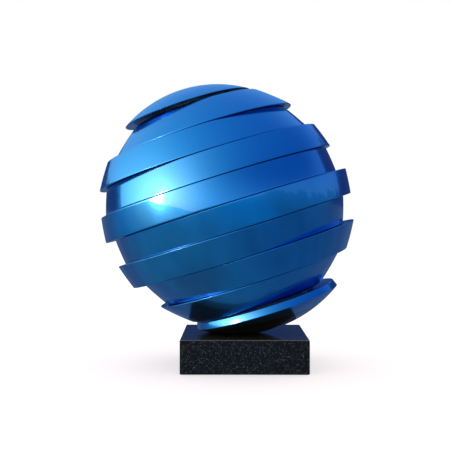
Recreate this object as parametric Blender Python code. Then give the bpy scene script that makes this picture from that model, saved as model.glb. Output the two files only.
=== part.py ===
"""Sliced-ball trophy: a lacquered ball cut into ten tilted slices on a granite block.

Metres, +Z up, +X to the right of the front, -Y towards the front. The origin is the
centre of the rubber pad's underside. The slices are stacked along one tilted axis, each
shifted sideways, threaded on a tie rod and kept in line by two guide rods.
"""

from math import cos, pi, radians, sin, sqrt

import bmesh
import bpy
from mathutils import Matrix, Vector

FIT = 0.0003  # joint gap between two pieces that touch

# Granite block and the rubber pad let into its underside.
BLOCK_SIDE = 0.150
BLOCK_BOTTOM = 0.0004
BLOCK_TOP = 0.0405
BLOCK_CHAMFER = 0.0010
PAD_INSET = 0.004
PAD_RECESS_TOP = 0.0015
PAD_THICKNESS = PAD_RECESS_TOP - FIT

# The ball before it is sliced.
BALL_RADIUS = 0.1475
BALL_CENTRE = Vector((-0.022, 0.0, 0.195))
TILT = radians(17.5)

# Cutting planes, measured along the tilted axis from the ball's centre.
FIRST_SEAM = 0.125
LAST_SEAM = -0.122
PITCH = 0.031
GROOVE = 0.0006
SHELL_SHIFTS = (0.0010, -0.0090, 0.0, -0.0060, 0.0060, -0.0035, 0.0105, 0.0010)

# Hollow slices: wall, top web, lower flange and the hub around the tie rod.
WALL = 0.004
WEB = 0.0035
FLANGE_WIDTH = 0.022
HUB_RADIUS = 0.024

# Solid cap on top: its dome is lifted above the ball's, and a reveal parts it from the first shell.
CAP_SHIFT = -0.0090
CAP_LIFT = 0.0052
CAP_REVEAL = 0.0035
CAP_SPACER_RADIUS = 0.050
CAP_SOCKET_DEPTH = 0.0045

# Solid foot: a flared rim over a flatter dome.
FOOT_SHIFT = 0.0110
FOOT_REVEAL = 0.0020
FOOT_RIM_RADIUS = 0.0875
FOOT_WIDEST_RADIUS = 0.0905
FOOT_RIM_HEIGHT = 0.008
FOOT_DOME_RADIUS = 0.160
FOOT_SPACER_RADIUS = 0.066
FOOT_TAPPING_DEPTH = 0.022

# Tie rod, its nut and washer, and the two guide rods.
ROD_RADIUS = 0.006
ROD_BORE = ROD_RADIUS + 0.0004
WASHER_RADIUS = 0.012
WASHER_THICKNESS = 0.0025
NUT_FLATS = 0.018
NUT_HEIGHT = 0.0100
NUT_POCKET_RADIUS = 0.0135
NUT_POCKET_DEPTH = 0.0110
ROD_ABOVE_NUT = 0.0020
GUIDE_RADIUS = 0.003
GUIDE_BORE = GUIDE_RADIUS + FIT
GUIDE_SPREAD = 0.042
GUIDE_IN_CAP = 0.008
GUIDE_IN_FOOT = 0.012

# Fixing to the block: stud, washer and nut in a counterbore, one dowel, one gasket.
STUD_IN_FOOT = 0.020
STUD_LOW_END = 0.0026
BLOCK_BORE = 0.0066
COUNTERBORE_RADIUS = 0.017
COUNTERBORE_DEPTH = 0.015
GASKET_RADIUS = 0.013
GASKET_BORE = 0.0075
GASKET_THICKNESS = 0.0009
DOWEL_RADIUS = 0.003
DOWEL_OFFSET = 0.019
DOWEL_HALF_LENGTH = 0.008

AROUND = 48  # facets round a slice
SMALL_AROUND = 16  # facets round a rod, hole or washer

AXIS = Vector((-sin(TILT), 0.0, cos(TILT)))
SIDEWAYS = Vector((cos(TILT), 0.0, sin(TILT)))
TILTED = Matrix.Rotation(-TILT, 4, "Y")


def clear_scene():
    for thing in list(bpy.data.objects):
        bpy.data.objects.remove(thing, do_unlink=True)


def make_material(name, colour, roughness, metallic):
    material = bpy.data.materials.new(name)
    material.use_nodes = True
    shader = material.node_tree.nodes["Principled BSDF"]
    shader.inputs["Base Color"].default_value = (*colour, 1.0)
    shader.inputs["Roughness"].default_value = roughness
    shader.inputs["Metallic"].default_value = metallic
    return material


def blue_lacquer(name):
    return make_material(name + "_lacquer", (0.005, 0.13, 0.58), 0.22, 0.9)


def black_granite(name):
    return make_material(name + "_granite", (0.012, 0.012, 0.013), 0.25, 0.0)


def zinc_steel(name):
    return make_material(name + "_steel", (0.55, 0.55, 0.57), 0.35, 1.0)


def black_nylon(name):
    return make_material(name + "_nylon", (0.015, 0.015, 0.017), 0.6, 0.0)


def black_rubber(name):
    return make_material(name + "_rubber", (0.02, 0.02, 0.02), 0.85, 0.0)


def on_axis(height, shift=0.0, forward=0.0):
    """The place at this height along the tilted axis, shifted sideways and to the front."""
    return BALL_CENTRE + height * AXIS + shift * SIDEWAYS + Vector((0.0, -forward, 0.0))


def new_object(name, shape, place, material):
    mesh = bpy.data.meshes.new(name)
    shape.to_mesh(mesh)
    shape.free()
    solid = bpy.data.objects.new(name, mesh)
    bpy.context.scene.collection.objects.link(solid)
    solid.matrix_world = place
    if material is not None:
        mesh.materials.append(material(name))
    mesh.shade_smooth()
    mesh.set_sharp_from_angle(angle=radians(30))
    return solid


def turned(name, profile, place, material, around=AROUND):
    """A solid of revolution about its own Z from (radius, height) points."""
    shape = bmesh.new()
    points = [shape.verts.new((radius, 0.0, height)) for radius, height in profile]
    ends = list(zip(points, points[1:]))
    if profile[0][0] > 0.0:
        ends.append((points[-1], points[0]))
    edges = [shape.edges.new(pair) for pair in ends]
    bmesh.ops.spin(
        shape,
        geom=points + edges,
        axis=(0.0, 0.0, 1.0),
        cent=(0.0, 0.0, 0.0),
        steps=around,
        angle=2.0 * pi,
        use_merge=True,
    )
    bmesh.ops.remove_doubles(shape, verts=shape.verts, dist=1e-6)
    bmesh.ops.recalc_face_normals(shape, faces=shape.faces)
    return new_object(name, shape, place, material)


def rod(name, radius, low, high, place, material, around=SMALL_AROUND):
    """A round bar along its own Z with a small chamfer at both ends."""
    chamfer = 0.15 * radius
    profile = [
        (0.0, high),
        (radius - chamfer, high),
        (radius, high - chamfer),
        (radius, low + chamfer),
        (radius - chamfer, low),
        (0.0, low),
    ]
    return turned(name, profile, place, material, around)


def ring(name, inner, outer, low, high, place, material, around=SMALL_AROUND):
    profile = [(inner, high), (outer, high), (outer, low), (inner, low)]
    return turned(name, profile, place, material, around)


def hex_nut(name, low, place):
    shape = bmesh.new()
    corner = NUT_FLATS / sqrt(3.0)
    bmesh.ops.create_cone(
        shape,
        cap_ends=True,
        segments=6,
        radius1=corner,
        radius2=corner,
        depth=NUT_HEIGHT,
        matrix=Matrix.Translation((0.0, 0.0, low + NUT_HEIGHT / 2.0)),
    )
    nut = new_object(name, shape, place, zinc_steel)
    bore(nut, ROD_BORE, low - 0.001, low + NUT_HEIGHT + 0.001, place)
    return nut


def cut(solid, cutter):
    cutter.hide_render = True
    cutter.display_type = "WIRE"
    boolean = solid.modifiers.new("Cut " + cutter.name, "BOOLEAN")
    boolean.operation = "DIFFERENCE"
    boolean.solver = "EXACT"
    boolean.object = cutter


def bore(solid, radius, low, high, place):
    """A round hole along the place's own Z, from low to high."""
    profile = [(0.0, high), (radius, high), (radius, low), (0.0, low)]
    name = "%s_cutter_%d" % (solid.name, len(solid.modifiers))
    cut(solid, turned(name, profile, place, None, SMALL_AROUND))


def ball_radius_at(height, radius=BALL_RADIUS):
    return sqrt(radius**2 - height**2)


def arc(radius, start, end, steps):
    """Points down a sphere's side, from one height to another."""
    heights = [start + (end - start) * step / steps for step in range(steps + 1)]
    return [(ball_radius_at(height, radius), height) for height in heights]


def shifted_place(shift):
    return Matrix.Translation(on_axis(0.0, shift)) @ TILTED


def rod_places():
    """The tie rod's place and the two guide rods' places, all along the tilted axis."""
    tie = Matrix.Translation(on_axis(0.0)) @ TILTED
    guides = [
        Matrix.Translation(on_axis(0.0, 0.0, side * GUIDE_SPREAD)) @ TILTED
        for side in (1.0, -1.0)
    ]
    return tie, guides


def seam(number):
    """Height of a cutting plane, counted from 0 at the top of the first shell."""
    return max(FIRST_SEAM - PITCH * number, LAST_SEAM)


def shell_slice(index, shift):
    """One hollow slice: spherical wall, top web, lower flange and central hub."""
    top = seam(index) - GROOVE / 2.0
    bottom = seam(index + 1) + GROOVE / 2.0
    inside = BALL_RADIUS - WALL
    outer_wall = arc(BALL_RADIUS, top, bottom, 2)
    inner_wall = arc(inside, bottom + WEB, top - WEB, 1)
    flange_inner = ball_radius_at(bottom) - FLANGE_WIDTH
    profile = [
        (0.0, top),
        *outer_wall,
        (flange_inner, bottom),
        (flange_inner, bottom + WEB),
        *inner_wall,
        (HUB_RADIUS, top - WEB),
        (HUB_RADIUS, bottom - GROOVE + FIT),
        (0.0, bottom - GROOVE + FIT),
    ]
    tie, guides = rod_places()
    name = "slice_%d" % (index + 2)
    slice_ = turned(name, profile, shifted_place(shift), blue_lacquer)
    past = 0.002
    bore(slice_, ROD_BORE, bottom - past, top + past, tie)
    for guide in guides:
        bore(slice_, GUIDE_BORE, bottom - past, top + past, guide)
    if index == 0:
        bore(slice_, NUT_POCKET_RADIUS, top - NUT_POCKET_DEPTH, top + past, tie)
    return slice_


def cap_slice():
    """The solid top cap, a lifted segment of the ball."""
    underside = FIRST_SEAM + CAP_REVEAL
    lowest = underside - CAP_LIFT
    dome = [(r, h + CAP_LIFT) for r, h in arc(BALL_RADIUS, 0.9985 * BALL_RADIUS, lowest, 4)]
    profile = [(0.0, BALL_RADIUS + CAP_LIFT), *dome, (0.0, underside)]
    cap = turned("cap_slice", profile, shifted_place(CAP_SHIFT), blue_lacquer)
    tie, guides = rod_places()
    bore(cap, ROD_BORE + 0.001, underside - 0.002, underside + CAP_SOCKET_DEPTH, tie)
    for guide in guides:
        bore(cap, GUIDE_BORE, underside - 0.002, underside + GUIDE_IN_CAP + FIT, guide)
    return cap


def cap_spacer():
    low = FIRST_SEAM
    high = FIRST_SEAM + CAP_REVEAL - FIT
    place = shifted_place((CAP_SHIFT + SHELL_SHIFTS[0]) / 2.0)
    profile = [(0.0, high), (CAP_SPACER_RADIUS, high), (CAP_SPACER_RADIUS, low), (0.0, low)]
    spacer = turned("cap_spacer", profile, place, black_nylon, AROUND)
    tie, guides = rod_places()
    bore(spacer, NUT_POCKET_RADIUS, low - 0.002, high + 0.002, tie)
    for guide in guides:
        bore(spacer, GUIDE_BORE, low - 0.002, high + 0.002, guide)


def foot_centre():
    return on_axis(0.0, FOOT_SHIFT)


def seat_place(height=0.0):
    """Upright, over the block, under the foot's lowest point."""
    return Matrix.Translation((foot_centre().x, 0.0, height))


def foot_slice():
    """The solid foot, cut flat where it sits on the block."""
    top = LAST_SEAM - FOOT_REVEAL
    widest = top - FOOT_RIM_HEIGHT
    depth = ball_radius_at(FOOT_WIDEST_RADIUS, FOOT_DOME_RADIUS)
    middle = widest + depth
    dome = [(r, middle + h) for r, h in arc(FOOT_DOME_RADIUS, -depth, -0.9985 * FOOT_DOME_RADIUS, 4)]
    profile = [
        (0.0, top),
        (FOOT_RIM_RADIUS, top),
        *dome,
        (0.0, middle - FOOT_DOME_RADIUS),
    ]
    foot = turned("foot_slice", profile, shifted_place(FOOT_SHIFT), blue_lacquer)
    tie, guides = rod_places()
    seat = BLOCK_TOP + FIT
    bore(foot, 0.060, seat - 0.020, seat, seat_place())
    bore(foot, GASKET_RADIUS + FIT, seat - 0.001, seat + GASKET_THICKNESS + FIT, seat_place())
    bore(foot, ROD_BORE, seat - 0.001, seat + STUD_IN_FOOT, seat_place())
    bore(foot, DOWEL_RADIUS + FIT, seat - 0.001, BLOCK_TOP + DOWEL_HALF_LENGTH + FIT, dowel_place())
    bore(foot, ROD_BORE, top - FOOT_TAPPING_DEPTH - FIT, top + 0.002, tie)
    for guide in guides:
        bore(foot, GUIDE_BORE, top - GUIDE_IN_FOOT - FIT, top + 0.002, guide)


def foot_spacer():
    high = LAST_SEAM
    low = LAST_SEAM - FOOT_REVEAL + FIT
    place = shifted_place((FOOT_SHIFT + SHELL_SHIFTS[-1]) / 2.0)
    profile = [(0.0, high), (FOOT_SPACER_RADIUS, high), (FOOT_SPACER_RADIUS, low), (0.0, low)]
    spacer = turned("foot_spacer", profile, place, black_nylon, AROUND)
    tie, guides = rod_places()
    bore(spacer, ROD_BORE, low - 0.002, high + 0.002, tie)
    for guide in guides:
        bore(spacer, GUIDE_BORE, low - 0.002, high + 0.002, guide)


def rods_and_nut():
    """The tie rod with its washer and nut in the first shell's pocket, and both guide rods."""
    tie, guides = rod_places()
    pocket = FIRST_SEAM - GROOVE / 2.0 - NUT_POCKET_DEPTH
    washer_low = pocket + FIT
    nut_low = washer_low + WASHER_THICKNESS + FIT
    foot_top = LAST_SEAM - FOOT_REVEAL
    rod_top = nut_low + NUT_HEIGHT + ROD_ABOVE_NUT
    rod("tie_rod", ROD_RADIUS, foot_top - FOOT_TAPPING_DEPTH, rod_top, tie, zinc_steel)
    ring("tie_washer", ROD_BORE, WASHER_RADIUS, washer_low, washer_low + WASHER_THICKNESS, tie, zinc_steel)
    hex_nut("tie_nut", nut_low, tie)
    guide_top = FIRST_SEAM + CAP_REVEAL + GUIDE_IN_CAP
    for name, place in zip(("guide_rod_front", "guide_rod_rear"), guides):
        rod(name, GUIDE_RADIUS, foot_top - GUIDE_IN_FOOT, guide_top, place, zinc_steel, 12)


def dowel_place():
    return Matrix.Translation((foot_centre().x, -DOWEL_OFFSET, 0.0))


def slab(name, side, low, high, material):
    """A level square plate from low to high."""
    shape = bmesh.new()
    bmesh.ops.create_cube(shape, size=1.0, matrix=Matrix.Diagonal((side, side, high - low, 1.0)))
    place = Matrix.Translation((0.0, 0.0, (low + high) / 2.0))
    return new_object(name, shape, place, material)


def block():
    stone = slab("granite_block", BLOCK_SIDE, BLOCK_BOTTOM, BLOCK_TOP, black_granite)
    chamfer = stone.modifiers.new("Chamfer", "BEVEL")
    chamfer.width = BLOCK_CHAMFER
    chamfer.segments = 1
    bore(stone, BLOCK_BORE, BLOCK_BOTTOM - 0.002, BLOCK_TOP + 0.002, seat_place())
    floor = PAD_RECESS_TOP + COUNTERBORE_DEPTH
    bore(stone, COUNTERBORE_RADIUS, BLOCK_BOTTOM - 0.002, floor, seat_place())
    recess_side = BLOCK_SIDE - 2.0 * PAD_INSET + 2.0 * FIT
    cut(stone, slab("pad_recess_cutter", recess_side, BLOCK_BOTTOM - 0.002, PAD_RECESS_TOP, None))
    bottom = BLOCK_TOP - DOWEL_HALF_LENGTH - FIT
    bore(stone, DOWEL_RADIUS + FIT, bottom, BLOCK_TOP + 0.002, dowel_place())


def base_pad():
    slab("base_pad", BLOCK_SIDE - 2.0 * PAD_INSET, 0.0, PAD_THICKNESS, black_rubber)


def base_fixing():
    """The upright stud with its washer and nut, the dowel and the gasket under the foot."""
    place = seat_place()
    seat = BLOCK_TOP + FIT
    rod("base_stud", ROD_RADIUS, STUD_LOW_END, seat + STUD_IN_FOOT - FIT, place, zinc_steel)
    washer_high = PAD_RECESS_TOP + COUNTERBORE_DEPTH - FIT
    washer_low = washer_high - WASHER_THICKNESS
    ring("base_washer", ROD_BORE, WASHER_RADIUS, washer_low, washer_high, place, zinc_steel)
    hex_nut("base_nut", washer_low - FIT - NUT_HEIGHT, place)
    low = BLOCK_TOP - DOWEL_HALF_LENGTH
    rod("seat_dowel", DOWEL_RADIUS, low, BLOCK_TOP + DOWEL_HALF_LENGTH, dowel_place(), zinc_steel, 12)
    high = seat + GASKET_THICKNESS
    ring("seat_gasket", GASKET_BORE, GASKET_RADIUS, seat, high, place, black_rubber)


def main():
    clear_scene()
    base_pad()
    block()
    base_fixing()
    foot_slice()
    foot_spacer()
    for index, shift in enumerate(SHELL_SHIFTS):
        shell_slice(index, shift)
    cap_spacer()
    cap_slice()
    rods_and_nut()


main()
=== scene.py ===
"""The looks of the sliced-ball award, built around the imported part.

The slices, the cap and the foot get finer surfaces with rounded arrises and candy lacquer. The
stone block, the spacers, the steel and the rubber keep their shapes and get finer materials.
Metres, +Z up, -Y towards the front.
"""

from math import cos, pi, radians, sin, sqrt

import bmesh
import bpy
import numpy as np
from mathutils import Matrix, Vector


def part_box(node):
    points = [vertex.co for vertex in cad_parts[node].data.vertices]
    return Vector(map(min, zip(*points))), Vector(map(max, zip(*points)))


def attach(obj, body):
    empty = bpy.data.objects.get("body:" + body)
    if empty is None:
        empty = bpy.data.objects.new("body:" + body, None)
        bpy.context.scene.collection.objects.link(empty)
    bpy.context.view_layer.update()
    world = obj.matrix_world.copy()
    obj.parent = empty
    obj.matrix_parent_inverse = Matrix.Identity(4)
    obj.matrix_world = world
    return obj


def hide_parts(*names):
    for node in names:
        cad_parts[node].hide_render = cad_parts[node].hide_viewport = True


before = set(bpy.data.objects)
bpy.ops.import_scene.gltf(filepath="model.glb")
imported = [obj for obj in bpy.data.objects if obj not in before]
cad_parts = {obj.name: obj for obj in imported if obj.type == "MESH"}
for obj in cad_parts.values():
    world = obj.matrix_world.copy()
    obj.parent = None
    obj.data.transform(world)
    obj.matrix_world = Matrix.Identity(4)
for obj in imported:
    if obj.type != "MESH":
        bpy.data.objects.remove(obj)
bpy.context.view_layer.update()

# The stack's tilted axes.
TILT = radians(17.5)
AXIS = np.array((-sin(TILT), 0.0, cos(TILT)))
SIDEWAYS = np.array((cos(TILT), 0.0, sin(TILT)))
BACKWARD = np.array((0.0, 1.0, 0.0))
BALL_CENTRE = np.array((-0.022, 0.0, 0.195))
BALL_RADIUS = 0.1475

# Slices, cap and foot.
ARRIS = 0.0006
SECTION_RADIUS = 0.300
WALL = 0.004
WEB = 0.0035
FLANGE_WIDTH = 0.022
HUB_RADIUS = 0.024
HUB_STANDS_OUT = 0.0003
HUB_CLEARANCE = 0.2 * HUB_STANDS_OUT
FOOT_RIM_HEIGHT = 0.008
FOOT_DOME_RADIUS = 0.160
FOOT_RIM_RADIUS = 0.0875
FOOT_WIDEST_RADIUS = 0.0905

# Holes for the tie rod, the guide rods, the stud, the gasket and the dowel.
# FIT is the play round and beyond a rod. PAST is how far a cut runs beyond a face.
FIT = 0.0003
PAST = 0.002
ROD_BORE = 0.0064
NUT_POCKET_RADIUS = 0.0135
NUT_POCKET_DEPTH = 0.0110
GUIDE_BORE = 0.003 + FIT
GUIDE_SPREAD = 0.042
GUIDE_IN_CAP = 0.008
GUIDE_IN_FOOT = 0.012
SOCKET_RADIUS = 0.0074
SOCKET_DEPTH = 0.0045
TAPPING_DEPTH = 0.022
STUD_IN_FOOT = 0.020
GASKET_RECESS_RADIUS = 0.0133
GASKET_RECESS_DEPTH = 0.0012
DOWEL_BORE = 0.0033

# Fineness of the surfaces.
AROUND = 480
SMALL_AROUND = 64
ARC_STEPS = 16
INNER_STEPS = 6
CORNER_STEPS = 5
SHARP_ABOVE = radians(32.0)

SHELLS = ["slice_%d" % number for number in range(2, 10)]
STEEL_NODES = (
    "tie_rod",
    "tie_washer",
    "tie_nut",
    "guide_rod_front",
    "guide_rod_rear",
    "base_stud",
    "base_washer",
    "base_nut",
    "seat_dowel",
)


# Shapes -----------------------------------------------------------------------------


def span(node):
    """Lowest and highest place of a node along the tilted axis, and its middle sideways."""
    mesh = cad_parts[node].data
    points = np.empty(len(mesh.vertices) * 3)
    mesh.vertices.foreach_get("co", points)
    points = points.reshape(-1, 3) - BALL_CENTRE
    along = points @ AXIS
    across = points @ SIDEWAYS
    return along.min(), along.max(), (across.min() + across.max()) / 2.0


def smooth_object(name, points, faces):
    """A mesh object at the origin, smooth, with its sharper edges kept sharp."""
    mesh = bpy.data.meshes.new(name)
    mesh.from_pydata(points.tolist(), [], faces)
    mesh.update()
    mesh.shade_smooth()
    mesh.set_sharp_from_angle(angle=SHARP_ABOVE)
    piece = bpy.data.objects.new(name, mesh)
    bpy.context.scene.collection.objects.link(piece)
    return piece


def quads_between(rings, around, wraps):
    """Corner numbers of the quads that join each ring of points to the next one."""
    row = np.arange(rings if wraps else rings - 1)[:, None] * around
    column = np.arange(around)[None, :]
    following = (column + 1) % around
    next_row = (row + around) % (rings * around)
    quads = np.stack([row + column, next_row + column, next_row + following, row + following], -1)
    return quads.reshape(-1, 4)


def enclosed_volume(points, faces):
    """Signed volume, as the sum of the tetrahedra from the origin to each half quad."""
    a, b, c, d = (points[faces[:, corner]] for corner in range(4))
    halves = np.einsum("ij,ij->i", a, np.cross(b, c)) + np.einsum("ij,ij->i", a, np.cross(c, d))
    return halves.sum() / 6.0


def skin(name, rings, poles=None):
    """A closed surface through rings of points: rings[k, j] is the j-th point of ring k.

    With no poles the last ring joins the first. With poles, one point closes each end.
    """
    count, around, _ = rings.shape
    quads = quads_between(count, around, poles is None)
    points = rings.reshape(-1, 3)
    inside_out = enclosed_volume(points - points.mean(0), quads) < 0.0
    if inside_out:
        quads = quads[:, ::-1]
    faces = quads.tolist()
    if poles is not None:
        first, last = len(points), len(points) + 1
        points = np.vstack([points, poles])
        here = np.arange(around)
        there = (here + 1) % around
        end = (count - 1) * around
        start_fan = np.stack([np.full(around, first), here, there], -1)
        end_fan = np.stack([np.full(around, last), end + there, end + here], -1)
        fans = np.vstack([start_fan, end_fan])
        faces += (fans[:, ::-1] if inside_out else fans).tolist()
    return smooth_object(name, points, faces)


def tilted(profile, shift):
    """Rings about the tilted axis, one for each (radius, height) of the profile.

    Point = centre + height * axis + (shift + radius * cos turn) * sideways + radius * sin turn * back.
    The shift is one number, or one for each ring.
    """
    turn = (np.arange(AROUND) * 2.0 * pi / AROUND)[None, :, None]
    radius, height = profile[:, 0, None, None], profile[:, 1, None, None]
    shift = np.broadcast_to(shift, len(profile))[:, None, None]
    across = (shift + radius * np.cos(turn)) * SIDEWAYS
    return BALL_CENTRE + height * AXIS + across + radius * np.sin(turn) * BACKWARD


def on_axis(heights, shift):
    """Points on the tilted axis at the given heights, moved sideways by shift."""
    return np.array([BALL_CENTRE + height * AXIS + shift * SIDEWAYS for height in heights])


def sphere_radius(height, radius=BALL_RADIUS):
    """Radius of the circle a ball shows at a height: the root of its radius squared less height squared."""
    return np.sqrt(radius**2 - height**2)


def eased(corners, radii):
    """A profile with its corners rounded by arcs of the given radii (0 keeps a corner).

    Each arc touches both sides of its corner. Its middle lies on their bisector, radius / sin(half
    the corner) away, and it swings evenly between the two touching points.
    """
    corners = np.asarray(corners, float)
    profile = []
    for place, corner in enumerate(corners):
        radius = radii[place]
        if radius == 0.0:
            profile.append(corner[None, :])
            continue
        before = corners[place - 1] - corner
        after = corners[(place + 1) % len(corners)] - corner
        before /= np.linalg.norm(before)
        after /= np.linalg.norm(after)
        half = np.arccos(np.clip(before @ after, -1.0, 1.0)) / 2.0
        middle = corner + (before + after) / np.linalg.norm(before + after) * radius / sin(half)
        start = corner + before * radius / np.tan(half) - middle
        end = corner + after * radius / np.tan(half) - middle
        sweep = pi - 2.0 * half
        part = np.linspace(0.0, 1.0, CORNER_STEPS + 1)[:, None]
        bend = (np.sin((1.0 - part) * sweep) * start + np.sin(part * sweep) * end) / sin(sweep)
        profile.append(middle + bend)
    return np.vstack(profile)


def band_arc(top, bottom):
    """A slice's outside: an arc of SECTION_RADIUS through the ball's own radii at both rims."""
    high, low = (np.array((sphere_radius(height), height)) for height in (top, bottom))
    chord = low - high
    length = np.linalg.norm(chord)
    inward = np.array((chord[1], -chord[0])) / length
    middle = (high + low) / 2.0 + inward * sqrt(SECTION_RADIUS**2 - length**2 / 4.0)
    half = np.arcsin(length / 2.0 / SECTION_RADIUS)
    swing = np.linspace(half, -half, ARC_STEPS + 1)[:, None]
    return middle - SECTION_RADIUS * (np.cos(swing) * inward + np.sin(swing) * chord / length)


def shell(node):
    """A hollow slice: its outline carried once round the tilted axis.

    The outline runs down the slightly bulged band, in along the flange, up the inside of the
    wall, in under the web and down the hub to the rod's bore. The bore and the first slice's nut
    pocket stay on the axis, and the rest is shifted sideways.
    """
    bottom, top, shift = span(node)
    hub_low = bottom + HUB_CLEARANCE
    bottom += HUB_STANDS_OUT
    outside = band_arc(top, bottom)
    inner_heights = np.linspace(bottom + WEB, top - WEB, INNER_STEPS + 1)
    inside = np.column_stack([sphere_radius(inner_heights, BALL_RADIUS - WALL), inner_heights])
    flange_inner = sphere_radius(bottom) - FLANGE_WIDTH
    lead = 3.0 * ARRIS
    corners = [(outside[0, 0] - lead, top), *outside, (outside[-1, 0] - lead, bottom)]
    corners += [(flange_inner, bottom), (flange_inner, bottom + WEB), *inside]
    corners += [(HUB_RADIUS, top - WEB), (HUB_RADIUS, hub_low)]
    radii = np.zeros(len(corners))
    radii[[1, ARC_STEPS + 1]] = ARRIS
    casting = eased(corners, radii)

    bore_top, pocket = top, []
    if node == SHELLS[0]:
        bore_top = top - NUT_POCKET_DEPTH
        pocket = [(NUT_POCKET_RADIUS, bore_top), (NUT_POCKET_RADIUS, top)]
    bore = [(ROD_BORE, hub_low), (ROD_BORE, bore_top), *pocket]
    profile = np.vstack([bore, (HUB_RADIUS, top), casting])
    centres = np.full(len(profile), shift)
    centres[: len(bore)] = 0.0
    return skin(node + "_lacquered", tilted(profile, centres))


def cap():
    """The solid cap: the ball above a level, lifted, with an eased rim and a flat underside.

    The dome's heights are ball radius * cos(angle), so that its steps are even round the ball.
    """
    bottom, top, shift = span("cap_slice")
    lift = top - BALL_RADIUS
    rim_angle = np.arccos((bottom - lift) / BALL_RADIUS)
    heights = BALL_RADIUS * np.cos(np.linspace(0.02, 1.0, 4 * ARC_STEPS) * rim_angle)
    dome = np.column_stack([sphere_radius(heights), heights + lift])
    rim = dome[-1, 0]
    corners = [*dome, (rim - 4.0 * ARRIS, bottom), (0.5 * rim, bottom)]
    radii = np.zeros(len(corners))
    radii[len(dome) - 1] = ARRIS
    rings = tilted(eased(corners, radii), shift)
    return skin("cap_slice_lacquered", rings, on_axis((top, bottom), shift))


def foot():
    """The solid foot: flared rim over a dome of a wider ball, flat where it meets the block.

    Dome point = (dome radius * sin fall, middle - dome radius * cos fall). Whatever would hang
    below the seat is raised to it.
    """
    _, top, shift = span("foot_slice")
    depth = sqrt(FOOT_DOME_RADIUS**2 - FOOT_WIDEST_RADIUS**2)
    middle = top - FOOT_RIM_HEIGHT + depth
    fall = np.linspace(np.arccos(depth / FOOT_DOME_RADIUS), 0.01, 3 * ARC_STEPS)
    dome = np.column_stack([FOOT_DOME_RADIUS * np.sin(fall), middle - FOOT_DOME_RADIUS * np.cos(fall)])
    top_face = [(0.5 * FOOT_RIM_RADIUS, top), (FOOT_RIM_RADIUS - 3.0 * ARRIS, top), (FOOT_RIM_RADIUS, top)]
    corners = [*top_face, *dome]
    radii = np.zeros(len(corners))
    radii[[2, 3]] = ARRIS
    rings = tilted(eased(corners, radii), shift)
    poles = on_axis((top, middle - FOOT_DOME_RADIUS), shift)
    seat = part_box("foot_slice")[0].z
    rings[..., 2] = np.maximum(rings[..., 2], seat)
    poles[:, 2] = np.maximum(poles[:, 2], seat)
    return skin("foot_slice_lacquered", rings, poles)


# Holes ------------------------------------------------------------------------------


def leaning(backward=0.0):
    """A frame on the tilted axis, or on a parallel one set back from it."""
    return Matrix.Translation(BALL_CENTRE + backward * BACKWARD) @ Matrix.Rotation(-TILT, 4, "Y")


def over(node):
    """An upright frame at floor level, through the middle of a node."""
    low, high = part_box(node)
    return Matrix.Translation(((low.x + high.x) / 2.0, (low.y + high.y) / 2.0, 0.0))


def drill_bit(radius, low, high, place):
    """A round bar between two heights of a frame."""
    shape = bmesh.new()
    bmesh.ops.create_cone(
        shape,
        cap_ends=True,
        segments=SMALL_AROUND,
        radius1=radius,
        radius2=radius,
        depth=high - low,
        matrix=place @ Matrix.Translation((0.0, 0.0, (low + high) / 2.0)),
    )
    mesh = bpy.data.meshes.new("drill_bit")
    shape.to_mesh(mesh)
    shape.free()
    bit = bpy.data.objects.new("drill_bit", mesh)
    bpy.context.scene.collection.objects.link(bit)
    return bit


def drill(piece, holes):
    """Cut round holes, each given as a radius, two heights and the frame they are measured in."""
    for hole in holes:
        bit = drill_bit(*hole)
        step = piece.modifiers.new("hole", "BOOLEAN")
        step.operation = "DIFFERENCE"
        step.solver = "MANIFOLD"
        step.object = bit
        evaluated = piece.evaluated_get(bpy.context.evaluated_depsgraph_get())
        drilled = bpy.data.meshes.new_from_object(evaluated)
        piece.modifiers.clear()
        piece.data = drilled
        bpy.data.objects.remove(bit)
    piece.data.set_sharp_from_angle(angle=SHARP_ABOVE)


def holes_in(node):
    """The holes in a slice, the cap or the foot, apart from the bore that shell() gives a slice."""
    bottom, top, _ = span(node)
    low, high = bottom - PAST, top + PAST
    extra = []
    if node == "cap_slice":
        high = bottom + GUIDE_IN_CAP + FIT
        extra = [(SOCKET_RADIUS, low, bottom + SOCKET_DEPTH, leaning())]
    elif node == "foot_slice":
        low = top - GUIDE_IN_FOOT - FIT
        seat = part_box(node)[0].z
        extra = [
            (ROD_BORE, top - TAPPING_DEPTH - FIT, high, leaning()),
            (ROD_BORE, seat - PAST, seat + STUD_IN_FOOT, over("base_stud")),
            (GASKET_RECESS_RADIUS, seat - PAST, seat + GASKET_RECESS_DEPTH, over("seat_gasket")),
            (DOWEL_BORE, seat - PAST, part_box("seat_dowel")[1].z + FIT, over("seat_dowel")),
        ]
    return [(GUIDE_BORE, low, high, leaning(side * GUIDE_SPREAD)) for side in (-1.0, 1.0)] + extra


# Node helpers -----------------------------------------------------------------------


def new_material(name):
    """A material, its shader, its node tree, and the piece's own coordinates."""
    material = bpy.data.materials.new(name)
    material.use_nodes = True
    tree = material.node_tree
    place = add_node(tree, "ShaderNodeTexCoord").outputs["Object"]
    return material, tree.nodes["Principled BSDF"], tree, place


def add_node(tree, kind, **settings):
    """A new node of the given kind, with its own settings."""
    node = tree.nodes.new(kind)
    for key, value in settings.items():
        setattr(node, key, value)
    return node


def put(tree, socket, value):
    """Link a socket to another node's output, or set it to a constant."""
    if isinstance(value, bpy.types.NodeSocket):
        tree.links.new(value, socket)
    else:
        socket.default_value = value


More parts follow.
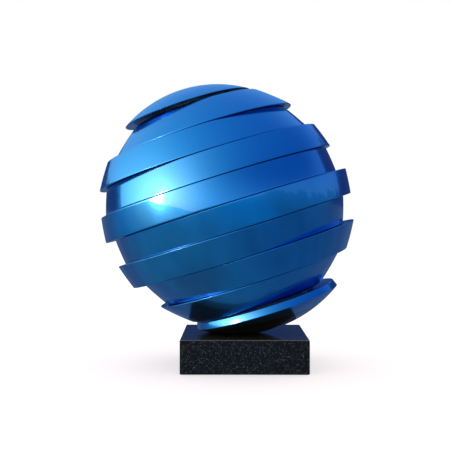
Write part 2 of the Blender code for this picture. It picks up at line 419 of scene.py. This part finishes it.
def mix_colour(tree, factor, first, second, blend="MIX"):
    """Blend two colours, each a tuple or a link, by a factor, a number or a link."""
    mix = add_node(tree, "ShaderNodeMix", data_type="RGBA", blend_type=blend)
    put(tree, mix.inputs[0], factor)
    for socket, colour in ((6, first), (7, second)):
        put(tree, mix.inputs[socket], (*colour, 1.0) if isinstance(colour, tuple) else colour)
    return mix.outputs[2]


def arithmetic(tree, operation, first, second=0.0):
    """A Math node on two values, each a number or a link."""
    node = add_node(tree, "ShaderNodeMath", operation=operation)
    put(tree, node.inputs[0], first)
    put(tree, node.inputs[1], second)
    return node.outputs[0]


def vector_maths(tree, operation, first, second=(0.0, 0.0, 0.0)):
    """A Vector Math node on two vectors, each a tuple or a link."""
    node = add_node(tree, "ShaderNodeVectorMath", operation=operation)
    put(tree, node.inputs[0], first)
    put(tree, node.inputs[1], second)
    return node.outputs["Value" if operation in ("DOT_PRODUCT", "LENGTH") else "Vector"]


def times(tree, colour, strength):
    """A colour, a tuple or a link, times a strength link."""
    node = add_node(tree, "ShaderNodeVectorMath", operation="SCALE")
    put(tree, node.inputs[0], colour)
    put(tree, node.inputs["Scale"], strength)
    return node.outputs["Vector"]


def smooth_step(tree, value, low, high):
    """0 below low, 1 above high, eased between; low > high turns it round."""
    step = add_node(tree, "ShaderNodeMapRange", interpolation_type="SMOOTHSTEP")
    step.inputs["From Min"].default_value = min(low, high)
    step.inputs["From Max"].default_value = max(low, high)
    step.inputs["To Min"].default_value = float(low > high)
    step.inputs["To Max"].default_value = float(low < high)
    put(tree, step.inputs["Value"], value)
    return step.outputs["Result"]


def noise(tree, coordinates, scale, detail=2.0, stretch=None):
    """A noise pattern, drawn out along an axis where stretch says so."""
    if stretch is not None:
        mapping = add_node(tree, "ShaderNodeMapping")
        mapping.inputs["Scale"].default_value = stretch
        put(tree, mapping.inputs["Vector"], coordinates)
        coordinates = mapping.outputs["Vector"]
    pattern = add_node(tree, "ShaderNodeTexNoise")
    pattern.inputs["Scale"].default_value = scale
    pattern.inputs["Detail"].default_value = detail
    put(tree, pattern.inputs["Vector"], coordinates)
    return pattern.outputs["Fac"]


def grains(tree, place, scale):
    """Small cells, each with its own even tone between 0 and 1."""
    cells = add_node(tree, "ShaderNodeTexVoronoi")
    cells.inputs["Scale"].default_value = scale
    put(tree, cells.inputs["Vector"], place)
    tone = add_node(tree, "ShaderNodeSeparateColor")
    put(tree, tone.inputs["Color"], cells.outputs["Color"])
    return tone.outputs["Red"]


def spread(tree, value, low, high):
    """Carry a pattern's middle range, 0.3 to 0.7, onto low to high."""
    stretched = add_node(tree, "ShaderNodeMapRange")
    for name, number in (("From Min", 0.3), ("From Max", 0.7), ("To Min", low), ("To Max", high)):
        stretched.inputs[name].default_value = number
    put(tree, stretched.inputs["Value"], value)
    return stretched.outputs["Result"]


def relief(tree, height, distance, strength):
    """A bump as deep as distance, in metres."""
    bump = add_node(tree, "ShaderNodeBump")
    bump.inputs["Strength"].default_value = strength
    bump.inputs["Distance"].default_value = distance
    put(tree, bump.inputs["Height"], height)
    return bump.outputs["Normal"]


# Finishes ---------------------------------------------------------------------------

FLAKE_DARK = (0.016, 0.262, 0.63)
FLAKE_LIGHT = (0.018, 0.288, 0.69)
# Painted shade: the dark colour given to the lacquer deep in the joints, where the gaps lie in shade.
JOINT_PAINTED_SHADE = (0.002, 0.014, 0.06)
FLAKES_A_METRE = 1900.0
# Where the painted shade in the joints starts, by distance from the tilted axis and below the cap, and how
# softly it fades in.
DEEP_IN_JOINT = 0.0760
JOINT_EASE = 0.0015
CAP_EASE = 0.002

STONE = (0.0074, 0.0040, 0.0036)
CRYSTALS = (  # cells a metre, tones where a crystal starts and is full, colour
    (480.0, 0.55, 0.90, (0.011, 0.0095, 0.0105)),
    (900.0, 0.88, 0.97, (0.034, 0.031, 0.033)),
    (1300.0, 0.965, 0.99, (0.11, 0.105, 0.11)),
)
# Painted highlight: the grey the chamfer round the top is painted, standing for a bright arris.
CHAMFER_PAINTED_HIGHLIGHT = (0.15, 0.145, 0.14)
# Painted reflection: the warm grey that lightens the top face, standing for the sky it reflects.
TOP_PAINTED_REFLECTION = (0.050, 0.046, 0.034)
STONE_CHAMFER = 0.0010


def painted_shade_in_joints(tree, place):
    """1 near the tilted axis and up to the cap's underside, so on the faces deep in the joints: where the
    lacquer gets its painted shade.
    """
    from_centre = vector_maths(tree, "SUBTRACT", place, tuple(BALL_CENTRE))
    along = vector_maths(tree, "DOT_PRODUCT", from_centre, tuple(AXIS))
    reach = vector_maths(tree, "LENGTH", vector_maths(tree, "CROSS_PRODUCT", from_centre, tuple(AXIS)))
    underside, _, _ = span("cap_slice")
    near_axis = smooth_step(tree, reach, DEEP_IN_JOINT + JOINT_EASE, DEEP_IN_JOINT)
    under_cap = smooth_step(tree, along, underside + CAP_EASE, underside)
    return arithmetic(tree, "MULTIPLY", near_axis, under_cap)


def candy_lacquer():
    """Blue metallic base coat with fine flakes, under a deep clear coat with a trace of orange peel.

    Deep in the joints the lacquer's colour is darkened: painted shade, standing for the shade in the gaps.
    """
    material, shader, tree, place = new_material("candy_blue_lacquer")
    flake_tone = smooth_step(tree, grains(tree, place, FLAKES_A_METRE), 0.0, 1.0)
    base = mix_colour(tree, flake_tone, FLAKE_DARK, FLAKE_LIGHT)
    # Painted shade: darken the lacquer deep in the joints and under the cap.
    base = mix_colour(tree, painted_shade_in_joints(tree, place), base, JOINT_PAINTED_SHADE)
    put(tree, shader.inputs["Base Color"], base)
    put(tree, shader.inputs["Metallic"], 1.0)
    put(tree, shader.inputs["Roughness"], spread(tree, noise(tree, place, 45.0, 4.0), 0.19, 0.25))
    put(tree, shader.inputs["Coat Weight"], 1.0)
    put(tree, shader.inputs["Coat Roughness"], 0.02)
    put(tree, shader.inputs["Coat IOR"], 1.5)
    put(tree, shader.inputs["Coat Normal"], relief(tree, noise(tree, place, 220.0), 0.00002, 0.5))
    return material


def black_granite():
    """Black stone: fine grey crystals of two sizes, a few bright specks, polished with faint pits.

    The chamfer round the top is painted grey: a painted highlight along the arris. The top face is
    lightened to a faint warm grey: a painted reflection of the sky.
    """
    material, shader, tree, place = new_material("polished_black_granite")
    colour = STONE
    for scale, starts, full, crystal in CRYSTALS:
        shows = smooth_step(tree, grains(tree, place, scale), starts, full)
        colour = mix_colour(tree, shows, colour, crystal)

    split = add_node(tree, "ShaderNodeSeparateXYZ")
    put(tree, split.inputs["Vector"], place)
    height = split.outputs["Z"]
    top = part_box("granite_block")[1].z
    # Painted highlight: the chamfer band round the top is painted grey.
    above_face = smooth_step(tree, height, top - STONE_CHAMFER, top - 0.7 * STONE_CHAMFER)
    below_top = smooth_step(tree, height, top, top - 0.3 * STONE_CHAMFER)
    colour = mix_colour(tree, arithmetic(tree, "MULTIPLY", above_face, below_top), colour, CHAMFER_PAINTED_HIGHLIGHT)
    # Painted reflection: the top face is lightened warm grey.
    on_top = smooth_step(tree, height, top - 0.20 * STONE_CHAMFER, top - 0.05 * STONE_CHAMFER)
    colour = mix_colour(tree, on_top, colour, TOP_PAINTED_REFLECTION)

    put(tree, shader.inputs["Base Color"], colour)
    put(tree, shader.inputs["Roughness"], spread(tree, noise(tree, place, 700.0, 3.0), 0.05, 0.14))
    put(tree, shader.inputs["Specular IOR Level"], 0.22)
    put(tree, shader.inputs["Normal"], relief(tree, noise(tree, place, 900.0), 0.00001, 0.4))
    return material


def zinc_steel():
    """Bright zinc plate over turned steel: cloudy tone, fine drawn lines."""
    material, shader, tree, place = new_material("zinc_plated_steel")
    clouds = noise(tree, place, 160.0, 4.0)
    lines = noise(tree, place, 900.0, 2.0, (1.0, 1.0, 0.05))
    put(tree, shader.inputs["Base Color"], mix_colour(tree, clouds, (0.46, 0.47, 0.50), (0.68, 0.68, 0.66)))
    put(tree, shader.inputs["Metallic"], 1.0)
    put(tree, shader.inputs["Roughness"], spread(tree, lines, 0.24, 0.42))
    put(tree, shader.inputs["Normal"], relief(tree, lines, 0.00001, 0.5))
    return material


def black_nylon():
    """Turned nylon: glossy blue-black with close tool marks."""
    material, shader, tree, place = new_material("turned_black_nylon")
    marks = noise(tree, place, 600.0, 3.0, (0.2, 0.2, 1.0))
    tone = mix_colour(tree, marks, (0.004, 0.020, 0.100), (0.006, 0.028, 0.140))
    put(tree, shader.inputs["Base Color"], tone)
    put(tree, shader.inputs["Roughness"], spread(tree, marks, 0.28, 0.40))
    put(tree, shader.inputs["IOR"], 1.53)
    put(tree, shader.inputs["Coat Weight"], 1.0)
    put(tree, shader.inputs["Coat Roughness"], 0.12)
    put(tree, shader.inputs["Normal"], relief(tree, marks, 0.00003, 0.6))
    return material


def black_rubber():
    """Moulded rubber sheet: dry black with a fine grain."""
    material, shader, tree, place = new_material("black_rubber_sheet")
    grain = noise(tree, place, 1400.0, 4.0)
    tone = mix_colour(tree, grain, (0.012, 0.012, 0.012), (0.030, 0.030, 0.029))
    put(tree, shader.inputs["Base Color"], tone)
    put(tree, shader.inputs["Roughness"], spread(tree, grain, 0.72, 0.90))
    put(tree, shader.inputs["Normal"], relief(tree, grain, 0.00006, 0.8))
    return material


def wear(piece, material):
    """Give a piece one material in place of any it has."""
    piece.data.materials.clear()
    piece.data.materials.append(material)


# Studio -----------------------------------------------------------------------------

CAMERA_PLACE = Vector((-0.0150, -1.0695, 0.1778))
CAMERA_AIM = Vector((-0.0066, 1.0, -0.0061))
LENS = 68.92

FLOOR_REACH = 4.0
FLOOR_COLOUR = (0.92, 0.79, 0.75, 1.0)
FLOOR_GLOW = 0.5
OVERHEAD_POWER = 2.4
OVERHEAD_WIDTH = radians(170.0)

# Lobes of light in the sky: where they aim, their colour, and how flat and how tight they are.
SUN_AIM = (-0.860, -0.495, 0.122)
GLOW_AIM = (-0.940, -0.310, 0.150)
SUN_COLOUR = (80.0, 26.0, 24.0)
SUN_SHAPE = (1.0, 260.0)
GLOW_WIDE = (0.9, 2.25, 1.85)
GLOW_WIDE_SHAPE = (1.8, 3.2)
GLOW_NEAR = (6.5, 1.7, 0.8)
GLOW_NEAR_SHAPE = (1.6, 9.0)

# The rest of what the lacquer reflects.
SKY_HORIZON = (0.30, 0.58, 0.90)
SKY_MIDDLE = (0.022, 0.138, 0.45)
SKY_HIGH = (0.035, 0.200, 0.56)
SKY_BEHIND = (0.08, 0.28, 0.72)
GROUND_LEFT = (0.10, 0.29, 0.36)
GROUND_RIGHT = (0.06, 0.17, 0.29)
GROUND_NEAR = (0.03, 0.33, 0.54)
GROUND_UNDER = (0.10, 0.18, 0.23)
GROUND_BEHIND = (0.07, 0.13, 0.26)
GROUND_SHEEN = (1.2, 0.8, 0.4)
DARK_SHAPES = (0.06, 0.25, 0.38)
DARK_BEHIND = (0.02, 0.05, 0.18)

# How much each stretch of the skyline rises, as the sine of its height over the horizon.
SKYLINE_ALL = 0.02
SKYLINE_RIGHT = 0.13
SKYLINE_BEHIND_LEFT = 0.17
SKYLINE_BEHIND_RIGHT = 0.32


def camera():
    """A long lens about a metre in front, a little below the ball's middle, looking slightly down."""
    eye = bpy.data.cameras.new("camera")
    eye.sensor_width = 36.0
    eye.lens = LENS
    eye.clip_start = 0.01
    stand = bpy.data.objects.new("camera", eye)
    stand.location = CAMERA_PLACE
    stand.rotation_euler = CAMERA_AIM.to_track_quat("-Z", "Y").to_euler()
    bpy.context.scene.collection.objects.link(stand)
    bpy.context.scene.camera = stand


def floor():
    """A plain pale floor, lit a little from within so that it stays even."""
    corners = np.array([(-1.0, -1.0, 0.0), (1.0, -1.0, 0.0), (1.0, 1.0, 0.0), (-1.0, 1.0, 0.0)])
    ground = smooth_object("floor", FLOOR_REACH * corners, [(0, 1, 2, 3)])
    paper = bpy.data.materials.new("pale_floor")
    paper.use_nodes = True
    shader = paper.node_tree.nodes["Principled BSDF"]
    shader.inputs["Base Color"].default_value = FLOOR_COLOUR
    shader.inputs["Roughness"].default_value = 0.9
    shader.inputs["Emission Color"].default_value = (1.0, 1.0, 1.0, 1.0)
    shader.inputs["Emission Strength"].default_value = FLOOR_GLOW
    wear(ground, paper)
    ground.visible_glossy = False


def glow_round(tree, direction, aim, flattening, tightness):
    """exp(tightness * (cosine of the angle to aim - 1)), wider than high where flattening is over 1."""
    stretch = Vector((1.0, 1.0, flattening))
    squeezed = vector_maths(tree, "MULTIPLY", direction, tuple(stretch))
    unit = vector_maths(tree, "NORMALIZE", squeezed)
    cosine = vector_maths(tree, "DOT_PRODUCT", unit, tuple((Vector(aim) * stretch).normalized()))
    exponent = arithmetic(tree, "MULTIPLY", arithmetic(tree, "SUBTRACT", cosine, 1.0), tightness)
    return arithmetic(tree, "EXPONENT", exponent)


def sky_above(tree, direction, back, up, near):
    """Blue, paler at the horizon, with a wide and a near glow and the sun to the left."""
    above = mix_colour(tree, smooth_step(tree, up, 0.4, 1.0), SKY_MIDDLE, SKY_HIGH)
    above = mix_colour(tree, smooth_step(tree, up, 0.5, 0.05), above, SKY_HORIZON)
    above = mix_colour(tree, smooth_step(tree, back, 0.1, 0.8), above, SKY_BEHIND)
    wide = glow_round(tree, direction, GLOW_AIM, *GLOW_WIDE_SHAPE)
    sun = glow_round(tree, direction, SUN_AIM, *SUN_SHAPE)
    for lobe, colour in ((wide, GLOW_WIDE), (near, GLOW_NEAR), (sun, SUN_COLOUR)):
        above = mix_colour(tree, 1.0, above, times(tree, colour, lobe), "ADD")
    return above


def ground_below(tree, direction, across, back, up, near):
    """Patchy teal ground, bluer towards the front and darker behind, with a sheen under the glow."""
    below = mix_colour(tree, smooth_step(tree, across, -0.6, 0.8), GROUND_LEFT, GROUND_RIGHT)
    not_beside = smooth_step(tree, across, 0.85, 0.50)
    band = arithmetic(tree, "MULTIPLY", smooth_step(tree, up, -0.45, -0.10), not_beside)
    below = mix_colour(tree, band, below, GROUND_NEAR)
    on_left = smooth_step(tree, across, 0.0, -0.3)
    under = arithmetic(tree, "MULTIPLY", smooth_step(tree, up, -0.70, -0.84), on_left)
    below = mix_colour(tree, under, below, GROUND_UNDER)
    below = mix_colour(tree, smooth_step(tree, back, 0.1, 0.8), below, GROUND_BEHIND)
    patches = arithmetic(tree, "ADD", noise(tree, direction, 6.0, 6.0), 0.5)
    sheen = arithmetic(tree, "MULTIPLY", near, smooth_step(tree, up, -0.34, -0.10))
    return mix_colour(tree, 1.0, times(tree, below, patches), times(tree, GROUND_SHEEN, sheen), "ADD")


def skyline(tree, direction, across, back):
    """Height of the uneven dark shapes on the horizon: low in front, higher to the right and behind."""
    right = smooth_step(tree, across, 0.0, 0.2)
    left = arithmetic(tree, "SUBTRACT", 1.0, right)
    stretches = (
        (smooth_step(tree, across, 0.3, 0.8), SKYLINE_RIGHT),
        (arithmetic(tree, "MULTIPLY", smooth_step(tree, back, 0.40, 0.50), left), SKYLINE_BEHIND_LEFT),
        (arithmetic(tree, "MULTIPLY", smooth_step(tree, back, 0.55, 0.62), right), SKYLINE_BEHIND_RIGHT),
    )
    rise = SKYLINE_ALL
    for stretch, height in stretches:
        rise = arithmetic(tree, "ADD", arithmetic(tree, "MULTIPLY", stretch, height), rise)
    bumps = arithmetic(tree, "ADD", noise(tree, direction, 11.0, 6.0), 0.5)
    return arithmetic(tree, "MULTIPLY", rise, bumps)


def sky():
    """White to the eye. In reflections: blue above, a low glow to the left, dark teal ground below."""
    world = bpy.data.worlds.new("studio")
    bpy.context.scene.world = world
    world.use_nodes = True
    tree = world.node_tree
    direction = add_node(tree, "ShaderNodeTexCoord").outputs["Generated"]
    split = add_node(tree, "ShaderNodeSeparateXYZ")
    put(tree, split.inputs["Vector"], direction)
    across, back, up = split.outputs

    near = glow_round(tree, direction, SUN_AIM, *GLOW_NEAR_SHAPE)
    above = sky_above(tree, direction, back, up, near)
    below = ground_below(tree, direction, across, back, up, near)
    over_skyline = arithmetic(tree, "SUBTRACT", up, skyline(tree, direction, across, back))
    shapes = mix_colour(tree, smooth_step(tree, back, 0.3, 0.6), DARK_SHAPES, DARK_BEHIND)
    scenery = mix_colour(tree, smooth_step(tree, over_skyline, -0.006, 0.006), shapes, above)
    scenery = mix_colour(tree, smooth_step(tree, up, 0.0, 0.02), below, scenery)

    to_the_eye = add_node(tree, "ShaderNodeLightPath").outputs["Is Camera Ray"]
    background = tree.nodes["Background"]
    put(tree, background.inputs["Color"], mix_colour(tree, to_the_eye, scenery, (1.0, 1.0, 1.0)))
    put(tree, background.inputs["Strength"], 1.0)
    world.cycles_visibility.diffuse = False


def overhead_light():
    """Soft light from the whole upper half, for matt surfaces only; gloss shows the sky instead."""
    light = bpy.data.lights.new("overhead", "SUN")
    light.angle = OVERHEAD_WIDTH
    light.energy = OVERHEAD_POWER
    holder = bpy.data.objects.new("overhead", light)
    holder.location = (0.0, 0.0, 2.0)
    holder.visible_glossy = False
    bpy.context.scene.collection.objects.link(holder)


def main():
    """Set up the studio, make the lacquered pieces, then give the other pieces their finishes."""
    camera()
    floor()
    sky()
    overhead_light()
    lacquer = candy_lacquer()
    made = [(node, shell(node)) for node in SHELLS]
    made += [("cap_slice", cap()), ("foot_slice", foot())]
    for node, piece in made:
        drill(piece, holes_in(node))
        wear(piece, lacquer)
        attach(piece, "root")
        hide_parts(node)
    finishes = (
        (black_granite(), ("granite_block",)),
        (zinc_steel(), STEEL_NODES),
        (black_nylon(), ("cap_spacer", "foot_spacer")),
        (black_rubber(), ("seat_gasket", "base_pad")),
    )
    for material, nodes in finishes:
        for node in nodes:
            wear(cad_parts[node], material)
    bpy.context.scene.view_settings.view_transform = "Standard"


main()
